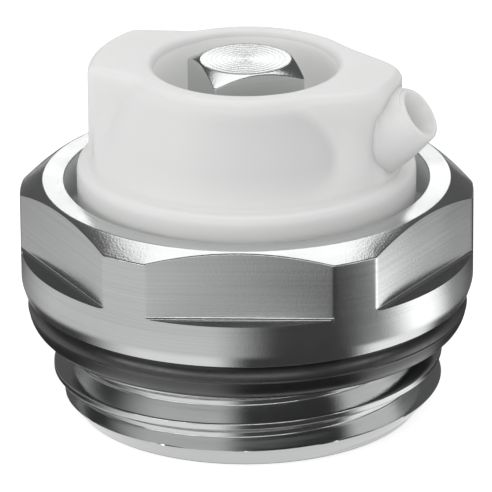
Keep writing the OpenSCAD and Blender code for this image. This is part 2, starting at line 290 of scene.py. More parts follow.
@dataclass(frozen=True)
class NickelPlate:
    """Bright nickel plating over machined brass: the plating is thin, so the cutter's marks show through.

    Attributes:
        name: Name of the finish.
        grain: Direction of the cutter's marks.
        mark_mm: Spacing of the marks in millimetres.
        colour: sRGB colour of the plating.
        roughness: Roughness of the plating between its marks.
        bump_mm: Depth of the marks in millimetres.
        streak: How much lighter and darker the marks are.
        peening_mm: Depth of the fine dents in millimetres.
        metallic: Share of bare metal. Less than one makes a paler, mostly diffuse copy of the plating, which paints
            light into a shaded recess.
    """

    name: str
    grain: Grain
    mark_mm: float
    colour: str = "#D0D1D1"
    roughness: float = 0.2
    bump_mm: float = 0.004
    streak: float = 0.12
    peening_mm: float = 0.003
    metallic: float = 1.0

    def build(self) -> bpy.types.Material:
        """Makes the material.

        Returns:
            The finished material.
        """
        material, tree = new_material(self.name)
        place = add(tree, "TexCoord").outputs["Object"]
        parts = add(tree, "SeparateXYZ", in0=place)
        radius = add(tree, "VectorMath", {"operation": "LENGTH"},
                     in0=add(tree, "CombineXYZ", X=parts.outputs["X"], Y=parts.outputs["Y"]).outputs[0])
        across = parts.outputs["Z"] if self.grain is Grain.ALONG_WALL else radius.outputs["Value"]
        # Marks: noise that is stretched a hundredfold along the cut, so that it reads as lines
        lines_per_metre = 1.0 / (self.mark_mm * MM)
        along = lines_per_metre / 100.0
        stretched = add(
            tree, "CombineXYZ",
            X=add(tree, "Math", {"operation": "MULTIPLY"}, in0=parts.outputs["X"], in1=along).outputs[0],
            Y=add(tree, "Math", {"operation": "MULTIPLY"}, in0=parts.outputs["Y"], in1=along).outputs[0],
            Z=add(tree, "Math", {"operation": "MULTIPLY"}, in0=across, in1=lines_per_metre).outputs[0],
        ).outputs[0]
        marks = add(tree, "TexNoise", Vector=stretched, Scale=1.0, Detail=2.0, Roughness=0.6).outputs[0]
        if self.grain is Grain.RINGS:
            turns = add(tree, "Math", {"operation": "MULTIPLY"}, in0=across, in1=TAU * lines_per_metre)
            wave = add(tree, "Math", {"operation": "SINE"}, in0=turns.outputs[0])
            marks = add(tree, "Math", {"operation": "MULTIPLY_ADD"}, in0=wave.outputs[0], in1=0.5, in2=marks).outputs[0]
        # Peening of about a tenth of a millimetre from the plating barrel, which breaks reflections up into speckle
        peened = add(tree, "TexNoise", Vector=place, Scale=1.0 / (0.11 * MM), Detail=1.0).outputs[0]
        # Blotches of a few millimetres where the plating is a little duller
        blotch = add(tree, "TexNoise", Vector=place, Scale=350.0, Detail=3.0).outputs[0]
        base = linear_colour(self.colour)
        dark = tuple(c * (1 - self.streak) for c in base[:3]) + (1.0,)
        shade = add(tree, "Mix", {"data_type": "RGBA"}, in0=marks, in6=dark, in7=base).outputs[2]
        rough = add(tree, "MapRange", in0=blotch, in1=0.3, in2=0.7, in3=self.roughness * 0.85, in4=self.roughness * 1.2)
        pits = add(tree, "Bump", Strength=1.0, Distance=self.peening_mm * MM, Height=peened)
        bump = add(tree, "Bump", Strength=1.0, Distance=self.bump_mm * MM, Height=marks, Normal=pits.outputs[0])
        shader = add(tree, "BsdfPrincipled", Base_Color=shade, Roughness=rough.outputs[0], Normal=bump.outputs[0])
        shader.inputs["Metallic"].default_value = self.metallic
        add(tree, "OutputMaterial", Surface=shader.outputs[0])
        return material


@dataclass(frozen=True)
class MouldedPlastic:
    """White injection-moulded plastic with a fine satin skin, slightly soft to light.

    Attributes:
        name: Name of the finish.
        colour: sRGB colour.
        roughness: Roughness of the skin.
        glow: Painted glow as a share of white, an even emission that stands in for light coming through the thin wall
            from outside.
    """

    name: str
    colour: str = "#EAEBEA"
    roughness: float = 0.42
    glow: float = 0.0

    def build(self) -> bpy.types.Material:
        """Makes the material.

        Returns:
            The finished material.
        """
        material, tree = new_material(self.name)
        place = add(tree, "TexCoord").outputs["Object"]
        # Spark-eroded mould texture of about a tenth of a millimetre
        skin = add(tree, "TexNoise", Vector=place, Scale=9000.0, Detail=2.0).outputs[0]
        flow = add(tree, "TexNoise", Vector=place, Scale=220.0, Detail=2.0).outputs[0]
        base = linear_colour(self.colour)
        warm = (base[0] * 0.97, base[1] * 0.97, base[2] * 0.96, 1.0)
        shade = add(tree, "Mix", {"data_type": "RGBA"}, in0=flow, in6=warm, in7=base).outputs[2]
        # Painted shade: the cup's wall beside the spout's lobe is darkened by up to a fifth, so that the fold between
        # the wall and the lobe shows darker
        thin = add(tree, "Attribute", {"attribute_name": "painted_fold_shade"}).outputs["Fac"]
        grey = tuple(c * 0.8 for c in base[:3]) + (1.0,)
        shade = add(tree, "Mix", {"data_type": "RGBA"}, in0=thin, in6=shade, in7=grey).outputs[2]
        bump = add(tree, "Bump", Strength=0.5, Distance=0.003 * MM, Height=skin)
        shader = add(tree, "BsdfPrincipled", Base_Color=shade, Roughness=self.roughness, Normal=bump.outputs[0])
        shader.inputs["IOR"].default_value = 1.5
        shader.inputs["Subsurface Weight"].default_value = 0.5
        shader.inputs["Subsurface Radius"].default_value = (1.0, 1.0, 0.97)
        shader.inputs["Subsurface Scale"].default_value = 1.5 * MM
        # Painted glow: an even emission that lightens the whole surface, in place of light coming through the wall
        shader.inputs["Emission Color"].default_value = (1.0, 1.0, 0.99, 1.0)
        shader.inputs["Emission Strength"].default_value = self.glow
        add(tree, "OutputMaterial", Surface=shader.outputs[0])
        return material


@dataclass(frozen=True)
class SealRubber:
    """Black EPDM rubber, pressed in a polished mould: near black with a soft grey sheen.

    Attributes:
        name: Name of the finish.
        colour: sRGB colour.
        roughness: Roughness of the skin.
    """

    name: str
    colour: str = "#111213"
    roughness: float = 0.3

    def build(self) -> bpy.types.Material:
        """Makes the material.

        Returns:
            The finished material.
        """
        material, tree = new_material(self.name)
        place = add(tree, "TexCoord").outputs["Object"]
        dust = add(tree, "TexNoise", Vector=place, Scale=2500.0, Detail=4.0).outputs[0]
        base = linear_colour(self.colour)
        pale = tuple(c * 1.5 for c in base[:3]) + (1.0,)
        shade = add(tree, "Mix", {"data_type": "RGBA"}, in0=dust, in6=base, in7=pale).outputs[2]
        rough = add(tree, "MapRange", in0=dust, in1=0.3, in2=0.7, in3=self.roughness * 0.9, in4=self.roughness * 1.2)
        bump = add(tree, "Bump", Strength=0.4, Distance=0.004 * MM, Height=dust)
        shader = add(tree, "BsdfPrincipled", Base_Color=shade, Roughness=rough.outputs[0], Normal=bump.outputs[0])
        shader.inputs["IOR"].default_value = 1.75
        add(tree, "OutputMaterial", Surface=shader.outputs[0])
        return material


def columns(angle: float, sides: int, half_width: float, per_span: int) -> np.ndarray:
    """Angles for a piece with flats: even ones, and close ones beside each flat's two upright edges.

    Args:
        angle: Direction of one flat's middle in degrees.
        sides: Number of flats.
        half_width: Angle from a flat's middle to its edge.
        per_span: Number of even columns in each span between two edges.

    Returns:
        The angles in ascending order over one turn.
    """
    close = np.array([-1.2, -0.6, -0.3, -0.12, 0.0, 0.12, 0.3, 0.6, 1.2])
    found = []
    for i in range(sides):
        middle = angle + i * 360.0 / sides
        low, high = middle - half_width, middle + half_width
        following = middle + 360.0 / sides - half_width
        found += [low + close, high + close]
        found.append(np.linspace(low + 2.0, high - 2.0, per_span))
        found.append(np.linspace(high + 2.0, following - 2.0, max(per_span // 3, 3)))
    return np.unique(np.round(np.concatenate(found) % 360.0, 5))


@dataclass
class PlugBody:
    """The turned and milled brass body, in millimetres from its lower end face.

    Its wall is one surface of two parameters: the angle, and a place along the turned half section.
    The flats are milled into it by taking, at each angle, the smaller of the collar's radius and the flat's distance.
    """

    thread_r: float = 10.4
    root_r: float = 9.3
    pitch: float = 1.814
    thread_len: float = 4.4
    end_r: float = 9.15
    lead_h: float = 1.5
    flank_angle: float = 27.5
    crest_share: float = 0.72
    neck_r: float = 9.27
    collar_z: float = 6.59
    seat_z: float = 7.21
    collar_r: float = 12.05
    rim_w: float = 0.2
    rim_h: float = 0.6
    apothem: float = 11.0
    flats_angle: float = -92.3
    flats_foot_z: float = 8.95
    foot_r: float = 0.18
    crown_h: float = 0.72
    ring_r: float = 10.85
    ring_z: float = 12.7
    recess_r: float = 9.7
    recess_z: float = 10.4
    spigot_r: float = 4.4
    spigot_z: float = 13.0
    bore_r: float = 3.0
    bore_z: float = 7.7
    hole_r: float = 1.1
    hollow_r: float = 7.0
    hollow_z: float = 6.2
    edge_r: float = 0.07

    def angles(self) -> np.ndarray:
        """The columns' angles."""
        return columns(self.flats_angle, 6, math.degrees(math.acos(self.apothem / self.collar_r)), 26)

    def side_radius(self, angles: np.ndarray) -> np.ndarray:
        """Radius of the collar's side wall above the ledge: the collar's circle or the nearest flat."""
        return smooth_min(self.collar_r, self.flat_radius(angles), 0.05)

    def flat_radius(self, angles: np.ndarray) -> np.ndarray:
        """Distance from the axis to the nearest flat's plane, its apothem over the cosine of the angle from it."""
        off = (angles - self.flats_angle + 30.0) % 60.0 - 30.0
        return self.apothem / np.cos(np.radians(off))

    def thread(self, shell: Shell, angles: np.ndarray, zone: int) -> None:
        """Adds the thread: rows that climb one pitch a turn, with the radius given by the distance to the crest.

        Args:
            shell: Shell to add the patch to.
            angles: The columns' angles.
            zone: Material zone of the thread.
        """
        depth = self.thread_r - self.root_r
        slope = math.tan(math.radians(self.flank_angle))
        flat = (self.pitch - 2 * depth * slope) / 2
        edge, foot = flat / 2, self.pitch / 2 - flat / 2
        half = np.unique(np.concatenate([np.linspace(0.0, edge, 6), edge * np.array([1.08, 1.2]),
                                         np.linspace(edge, foot, 15), foot + edge * np.array([-0.2, -0.08, 0.08, 0.2]),
                                         np.linspace(foot, self.pitch / 2, 6)[:-1]]))
        turn = np.concatenate([-half[:0:-1], half, [self.pitch / 2]])
        turns = int(self.thread_len / self.pitch) + 3
        starts = (np.arange(turns) - 2 + self.crest_share) * self.pitch
        rows = (starts[:, None] + turn[None, :]).ravel()
        ordered = np.argsort(angles)
        swept = angles[ordered]
        z = rows[:, None] + self.pitch * swept[None, :] / 360.0
        z = np.clip(z, 0.0, self.thread_len)
        off = np.abs((z - self.pitch * (swept[None, :] / 360.0 + self.crest_share) + self.pitch / 2) % self.pitch
                     - self.pitch / 2)
        flank = self.thread_r - (off - edge) / slope
        radius = smooth_max(smooth_min(self.thread_r, flank, 0.1), self.root_r, 0.12)
        lead = self.end_r + (self.thread_r - self.end_r) * z / self.lead_h
        radius = smooth_min(radius, lead, 0.05)
        a = np.radians(swept)[None, :]
        grid = np.stack([radius * np.cos(a), radius * np.sin(a), z], axis=-1) * MM
        shell.patch(grid, [zone] * len(rows), seam_shift=len(turn))

    def thread_radius(self, angles: np.ndarray, height: float) -> np.ndarray:
        """Radius of the thread's surface at one height, as the thread's own rows have it."""
        depth = self.thread_r - self.root_r
        slope = math.tan(math.radians(self.flank_angle))
        flat = (self.pitch - 2 * depth * slope) / 2
        off = np.abs((height - self.pitch * (angles / 360.0 + self.crest_share) + self.pitch / 2) % self.pitch
                     - self.pitch / 2)
        flank = self.thread_r - (off - flat / 2) / slope
        radius = smooth_max(smooth_min(self.thread_r, flank, 0.1), self.root_r, 0.12)
        lead = self.end_r + (self.thread_r - self.end_r) * height / self.lead_h
        return smooth_min(radius, lead, 0.05)

    def build(self, turned: bpy.types.Material, milled: bpy.types.Material, faced: bpy.types.Material,
              cut: bpy.types.Material, bored: bpy.types.Material) -> bpy.types.Object:
        """Builds the body as one closed mesh.

        Args:
            turned: Finish of the upright turned walls.
            milled: Finish of the flats.
            faced: Finish of the ring, the crown and the other faces.
            cut: Finish of the thread.
            bored: Finish of the recess that the head sits in, a paler copy of the plating with painted light.

        Returns:
            The object.
        """
        angles = self.angles()
        shell = Shell()
        self.thread(shell, angles, 3)
        s = Section(angles)
        side = self.side_radius(angles)
        flat = self.flat_radius(angles)
        off = np.radians((angles - self.flats_angle + 30.0) % 60.0 - 30.0)
        e = self.edge_r
        top_thread = self.thread_radius(angles, self.thread_len)
        s.row(top_thread, self.thread_len, 0)
        s.path(
            [(top_thread, self.thread_len), (self.neck_r, self.thread_len), (self.neck_r, self.seat_z),
             (self.collar_r - self.rim_w, self.collar_z), (self.collar_r, self.collar_z + self.rim_h),
             (self.collar_r, self.flats_foot_z - 0.6)],
            [0, 0.15, 0.15, 0.12, 0.2, 0], [0, 0, 0, 2, 0, 0])
        # Ledge: the profile of the milling cutter's rounded corner, seen at right angles to the flat
        rim = np.maximum(side, self.collar_r - 1e-4)
        depth = np.clip(rim * np.cos(off) - self.apothem, 0.0, None)
        is_flat = flat < self.collar_r
        for share in [0.0, 0.04, 0.1, 0.2, 0.35, 0.5, 0.65, 0.75, 0.82, 0.88, 0.93, 0.97, 1.0]:
            left = depth * (1 - share)
            reach = np.minimum(left, self.foot_r)
            rise = self.foot_r - np.sqrt(np.clip(self.foot_r**2 - (self.foot_r - reach) ** 2, 0.0, None))
            radius = np.where(is_flat, (self.apothem + left) / np.cos(off), self.collar_r)
            height = np.where(is_flat, self.flats_foot_z + rise, self.flats_foot_z + self.foot_r * share)
            s.row(np.minimum(np.maximum(radius, side), self.collar_r), height, 1)
        wall_foot = self.flats_foot_z + self.foot_r
        slope = self.crown_h / (self.collar_r - self.ring_r)
        crown_z = self.ring_z - (side - self.ring_r) * slope
        s.path(
            [(side, wall_foot), (side, (wall_foot + crown_z) / 2), (side, crown_z), (self.ring_r, self.ring_z),
             (self.recess_r, self.ring_z), (self.recess_r, self.recess_z), (self.spigot_r, self.recess_z),
             (self.spigot_r, self.spigot_z), (self.bore_r, self.spigot_z), (self.bore_r, self.bore_z),
             (self.hole_r, self.bore_z), (self.hole_r, self.hollow_z), (self.hollow_r, self.hollow_z),
             (self.hollow_r, 0.0), (self.end_r, 0.0)],
            [0, 0, e, e, e, 0.2, 0.2, 0.2, 0.1, 0.1, 0.1, 0.1, 0.4, 0.15, 0],
            [1, 1, 1, 2, 2, 4, 4, 4, 2, 0, 2, 0, 2, 0, 2])
        shell.patch(s.grid(), s.zones)
        return shell.build("plug_body_plated", [turned, milled, faced, cut, bored])


@dataclass
class CollarRing:
    """The collar's O-ring, a torus under the collar, in millimetres."""

    middle_r: float = 10.5
    section_r: float = 1.2
    height: float = 5.64
    ridge_h: float = 0.03
    ridge_deg: float = 2.2
    columns: int = 240
    rows: int = 48

    def build(self, rubber: bpy.types.Material) -> bpy.types.Object:
        """Builds the ring as a circle carried round a circle, with the mould's fine parting ridge on its outside.

        The ridge adds `ridge_h` times the bell curve of the angle over `ridge_deg` to the section's radius.

        Args:
            rubber: Finish of the ring.

        Returns:
            The object.
        """
        s = Section(np.linspace(0.0, 360.0, self.columns, endpoint=False))
        close = np.radians(self.ridge_deg) * np.array([-2.4, -1.6, -1.0, -0.6, -0.3, 0.3, 0.6, 1.0, 1.6, 2.4])
        turns = np.sort(np.concatenate([np.linspace(-math.pi, math.pi, self.rows, endpoint=False), close]))
        for turn in turns:
            radius = self.section_r + self.ridge_h * math.exp(-(math.degrees(turn) / self.ridge_deg) ** 2)
            s.row(self.middle_r + radius * math.cos(turn), self.height + radius * math.sin(turn), 0)
        shell = Shell()
        shell.patch(s.grid(), s.zones, closed=True)
        return shell.build("collar_ring_moulded", [rubber], sharp=80.0)


@dataclass
class OutletHead:
    """The white outlet head: cup, grip lobe and spout lobe above a flange, in millimetres.

    The outside is a radius for every angle and height: a leaning cup wall and two lobes that sweep out to the flange.
    """

    foot_z: float = 10.5
    ring_z: float = 12.7
    flange_r: float = 9.0
    flange_z: float = 13.8
    flange_edge: float = 0.6
    foot_fillet: float = 0.25
    fold: float = 0.3
    # Reach of the painted shade on the cup's wall beside the spout's lobe, in millimetres
    fold_shade_reach: float = 2.5
    top_z: float = 19.1
    top_edge: float = 0.5
    end_r: float = 8.35
    wall_foot_r: float = 8.15
    cup_outer_r: float = 6.05
    cup_r: float = 4.9
    cup_rim: float = 0.4
    cup_floor_z: float = 15.4
    hole_r: float = 3.1
    flare_r: float = 3.8
    spout_angle: float = -20.0
    spout_taper: float = 30.0
    spout_side: float = 5.93
    grip_taper: float = 16.0
    grip_side: float = 5.12
    bore_r: float = 4.5
    chamber_z: float = 14.2
    spout_tilt: float = 35.5
    mouth_reach: float = 9.7
    mouth_rise: float = 4.7
    mouth_r: float = 1.475
    lip_r: float = 0.14
    spout_bore_r: float = 0.95
    root_reach: float = 8.0
    root_z: float = 16.05
    root_half: float = 2.15
    root_up: float = 2.75
    root_down: float = 2.25
    horn_power: float = 1.5
    hood_power: float = 1.1

    def flare(self, z: np.ndarray | float) -> np.ndarray | float:
        """How far a lobe's side has swept outwards at a height: a quarter circle that ends on the flange."""
        drop = np.clip(self.flange_z + self.flare_r - z, 0.0, self.flare_r)
        return self.flare_r - np.sqrt(self.flare_r**2 - drop**2)

    def cup_wall(self, z: np.ndarray | float) -> np.ndarray | float:
        """Radius of the cup's wall, which leans out evenly from the top to the flange."""
        share = (self.top_z - np.maximum(z, self.flange_z)) / (self.top_z - self.flange_z)
        return self.cup_outer_r + (self.wall_foot_r - self.cup_outer_r) * share

    def lobe(self, off: np.ndarray, z: np.ndarray | float, taper: float, side: float, end_blend: float) -> np.ndarray:
        """Radius of a lobe at one height.

        Each side is straight, so its radius is its distance from the axis over the cosine to its normal. The side
        sweeps out to the flange below, and a round end of radius `end_r` closes the lobe.

        Args:
            off: Angles from the lobe's own direction, in degrees.
            z: Height.
            taper: Angle between a side and the lobe's direction, in degrees.
            side: Distance of the sides from the plug's axis.
            end_blend: Width over which the sides turn into the end.

        Returns:
            The radius at every angle.
        """
        turn = np.sin(np.radians(np.abs(off) + taper))
        flank = np.where(np.abs(off) + taper < 90.0, side / np.maximum(turn, 0.1), side * turn)
        swept = np.maximum(flank, smooth_min(flank + self.flare(z), self.wall_foot_r, 0.9))
        return smooth_min(swept, self.end_r, end_blend)

    def radius(self, angles: np.ndarray, z: float) -> np.ndarray:
        """Radius of the outer wall at every angle from the spout and one height."""
        spout = self.lobe(turn_to(angles, 0.0), z, self.spout_taper, self.spout_side, 1.0)
        grip = self.lobe(turn_to(angles, 180.0), z, self.grip_taper, self.grip_side, 0.15)
        return smooth_max(self.cup_wall(z), np.maximum(spout, grip), self.fold)

    def paint_fold_shade(self, mesh: bpy.types.Mesh) -> None:
        """Writes the painted shade beside the spout's lobe as a point attribute: one where the cup's bare wall starts,
        zero on the lobes.

        With the gap between the cup's wall and the lobe's side as g, it is g over 0.3 mm, held between zero and one,
        times exp(-g / `fold_shade_reach`). It fades out below the top edge and above the flange.

        Args:
            mesh: The head's mesh.
        """
        points = np.empty(len(mesh.vertices) * 3, np.float32)
        mesh.vertices.foreach_get("co", points)
        x, y, z = points.reshape(-1, 3).T / MM
        angles = np.degrees(np.arctan2(y, x)) - self.spout_angle
        gap = self.cup_wall(z) - self.lobe(turn_to(angles, 0.0), z, self.spout_taper, self.spout_side, 1.0)
        outside = np.clip((np.hypot(x, y) - self.cup_r - 0.7) / 0.3, 0.0, 1.0)
        below_top = np.clip((self.top_z - 0.3 - z) / 0.6, 0.0, 1.0)
        above_flange = np.clip((z - self.flange_z - 0.2) / 1.5, 0.0, 1.0)
        thin = np.clip(gap / 0.3, 0.0, 1.0) * np.exp(-np.clip(gap, 0.0, None) / self.fold_shade_reach)
        paint = mesh.attributes.new("painted_fold_shade", "FLOAT", "POINT")
        paint.data.foreach_set("value", (thin * outside * below_top * above_flange).astype(np.float32))

    def build(self, plastic: bpy.types.Material, inside: bpy.types.Material) -> bpy.types.Object:
        """Builds the head as one closed mesh, without its spout.

        Args:
            plastic: Finish of the head.
            inside: Finish of the cup's inside, a lighter copy of the plastic with a painted glow.

        Returns:
            The object.
        """
        angles = np.linspace(0.0, 360.0, 360, endpoint=False)
        s = Section(angles + self.spout_angle)
        fr = self.flange_r
        s.path([(7.8, self.foot_z), (fr, self.foot_z), (fr, self.flange_z - 1.0)], [0, 0.1, 0], [0, 0, 0], steps=6)
        s.corner((fr, self.foot_z), (fr, self.flange_z), (0.0, self.flange_z), self.flange_edge, 0, steps=8)
        for share in np.linspace(0.0, 1.0, 34):
            z = self.flange_z + (self.top_z - self.top_edge - self.flange_z) * share**2
            drop = max(self.flange_z + self.foot_fillet - z, 0.0)
            foot = self.foot_fillet - math.sqrt(self.foot_fillet**2 - drop**2)
            s.row(np.minimum(self.radius(angles, z) + foot, fr - self.flange_edge), z, 0)
        for turn in np.linspace(0.0, math.pi / 2, 8)[1:]:
            s.row(self.radius(angles, self.top_z) - self.top_edge * (1 - math.cos(turn)),
                  self.top_z - self.top_edge * (1 - math.sin(turn)), 0)
        outline = self.radius(angles, self.top_z) - self.top_edge
        s.path([(outline, self.top_z), (self.cup_r, self.top_z), (self.cup_r, self.cup_floor_z),
                (self.hole_r, self.cup_floor_z), (self.hole_r, 13.4), (3.8, 13.4), (3.8, self.chamber_z),
                (self.bore_r, self.chamber_z), (self.bore_r, self.foot_z), (5.9, self.foot_z), (5.9, 12.1),
                (7.8, 12.1), (7.8, self.foot_z)],
               [0, self.cup_rim, 0.4, 0.1, 0.05, 0.05, 0.1, 0.1, 0.05, 0.05, 0.2, 0.2, 0], [0, 0, 1, 1] + [0] * 9, steps=6)
        shell = Shell()
        shell.patch(s.grid(), s.zones)
        piece = shell.build("outlet_head_moulded", [plastic, inside], sharp=50.0)
        # Painted shade for the fold between the cup's wall and the spout's lobe
        self.paint_fold_shade(piece.data)
        return piece

    def spout(self, plastic: bpy.types.Material) -> bpy.types.Object:
        """Builds the spout: a horn that grows from an upright root on the lobe's end into a round, tilted mouth.

        Each ring lies between the root and the mouth. The root's ring is upright: a half circle below and, above, a
        superellipse of the power 2.6 that reaches the lobe's top. The mouth's ring is a circle that looks up by
        `spout_tilt`. The share of the mouth in a ring is one less the rest of the way to the power `horn_power`, so
        that the horn is hollow-backed, and the rings' centres follow a straight line. Towards the top the power
        falls to `hood_power`, so that the lobe's end runs on into the lip as a hood.

        Args:
            plastic: Finish of the spout.

        Returns:
            The object.
        """
        around = np.linspace(0.0, TAU, 128, endpoint=False)
        c, s = np.cos(around), np.sin(around)
        upper = (np.abs(c / self.root_half) ** 2.6 + np.abs(s / self.root_up) ** 2.6) ** (-1 / 2.6)
        lower = (np.abs(c / self.root_half) ** 2 + np.abs(s / self.root_down) ** 2) ** -0.5
        root = np.where(s > 0, upper, lower)
        power = self.horn_power + (self.hood_power - self.horn_power) * np.clip(s, 0.0, 1.0)
        lip = self.lip_r
        way = np.concatenate([np.linspace(-0.6, 0.0, 4)[:-1], np.linspace(0.0, 1.0, 22)])
        rings = [(w, 1 - (1 - max(w, 0.0)) ** self.horn_power, self.mouth_r, 0.0) for w in way[:-2]]
        turns = np.linspace(-0.3, math.pi, 9)
        rings += [(1.0, 1.0, self.mouth_r - lip + lip * math.cos(t), lip * math.sin(t) - lip) for t in turns]
        rings += [(1.0, 1.0, self.spout_bore_r + (self.mouth_r - 2 * lip - self.spout_bore_r) * (1 - q) ** 2,
                   -lip - 0.9 * q) for q in np.linspace(0.1, 1.0, 8)]
        rings += [(1.0, 1.0, self.spout_bore_r, -2.6), (1.0, 1.0, 0.0, -2.6)]
        foot = np.array([self.root_reach, self.root_z])
        mouth = np.array([self.mouth_reach, self.ring_z + self.mouth_rise])
        rows = []
        for share, mix, mouth_r, along in rings:
            tilt = math.radians(self.spout_tilt) * mix
            narrow = 1 - (1 - max(share, 0.0)) ** power
            radius = root * (1 - narrow) + mouth_r * narrow
            axis = np.array([math.cos(tilt), math.sin(tilt)])
            centre = foot + (mouth - foot) * share + axis * along
            out = centre[0] - radius * s * math.sin(tilt)
            rise = centre[1] + radius * s * math.cos(tilt)
            rows.append(np.stack([out, radius * c, rise], axis=-1))
        rows.insert(0, np.broadcast_to(rows[0].mean(axis=0), rows[0].shape))
        grid = np.array(rows) * MM
        turn = math.radians(self.spout_angle)
        spin = np.array([[math.cos(turn), -math.sin(turn), 0], [math.sin(turn), math.cos(turn), 0], [0, 0, 1]])
        shell = Shell()
        shell.patch(grid @ spin.T, [0] * len(rows))
        return shell.build("outlet_spout_moulded", [plastic], sharp=50.0)


@dataclass
class BleedScrew:
    """The bleed screw's flange and 5 mm square with its turned crown, in millimetres."""

    half_width: float = 2.5
    angle: float = 17.0
    corner_r: float = 3.45
    top_z: float = 19.3
    top_r: float = 2.4
    crown_h: float = 0.55
    foot_z: float = 16.05
    flange_r: float = 4.0
    flange_z: float = 15.45
    shank_r: float = 3.05
    thread_r: float = 2.95
    thread_z: float = 13.0
    tip_z: float = 8.25

    def build(self, milled: bpy.types.Material, faced: bpy.types.Material, turned: bpy.types.Material,
              ringed: bpy.types.Material) -> bpy.types.Object:
        """Builds the screw as one closed mesh.

        Args:
            milled: Finish of the square's sides.
            faced: Finish of the crown and the flange.
            turned: Finish of the shank.
            ringed: Finish of the turned face on top.

        Returns:
            The object.
        """
        half = math.degrees(math.acos(self.half_width / self.corner_r))
        angles = columns(self.angle, 4, half, 20)
        off = np.radians((angles - self.angle + 45.0) % 90.0 - 45.0)
        side = smooth_min(self.corner_r, self.half_width / np.cos(off), 0.05)
        slope = self.crown_h / (self.corner_r - self.top_r)
        crown_z = self.top_z - (side - self.top_r) * slope
        s = Section(angles)
        s.path([(0.0, self.tip_z), (self.thread_r, self.tip_z), (self.thread_r, self.thread_z),
                (self.shank_r, self.thread_z), (self.shank_r, self.flange_z), (self.flange_r, self.flange_z),
                (self.flange_r, self.foot_z), (side, self.foot_z), (side, (self.foot_z + crown_z) / 2),
                (side, crown_z), (self.top_r, self.top_z), (0.0, self.top_z)],
               [0, 0.2, 0.05, 0.05, 0.05, 0.05, 0.1, 0.1, 0, 0.06, 0.06, 0],
               [2, 2, 2, 2, 2, 1, 1, 1, 0, 0, 1, 3])
        shell = Shell()
        shell.patch(s.grid(), s.zones)
        return shell.build("bleed_screw_plated", [milled, faced, turned, ringed])


@dataclass(frozen=True)
class FloorCard:
    """A card that lies on the floor between two directions round the plug, with soft edges.

    Attributes:
        name: What the card is.
        start: Direction of its first edge in degrees.
        end: Direction of its last edge.
        soft_start: Width of the first edge in degrees.
        soft_end: Width of the last edge.
        brightness: How bright it looks.
    """

    name: str
    start: float
    end: float
    soft_start: float
    soft_end: float
    brightness: float

    def tone(self, turns: np.ndarray) -> np.ndarray:
        """Brightness at each direction: the card's, times the smooth step 3q^2 - 2q^3 across each edge."""
        half = ((self.end - self.start) % 360.0) / 2
        off = turn_to(turns, self.start + half)
        rise = np.clip((off + half) / self.soft_start + 0.5, 0.0, 1.0)
        fall = np.clip((half - off) / self.soft_end + 0.5, 0.0, 1.0)
        return self.brightness * (rise**2 * (3 - 2 * rise)) * (fall**2 * (3 - 2 * fall))


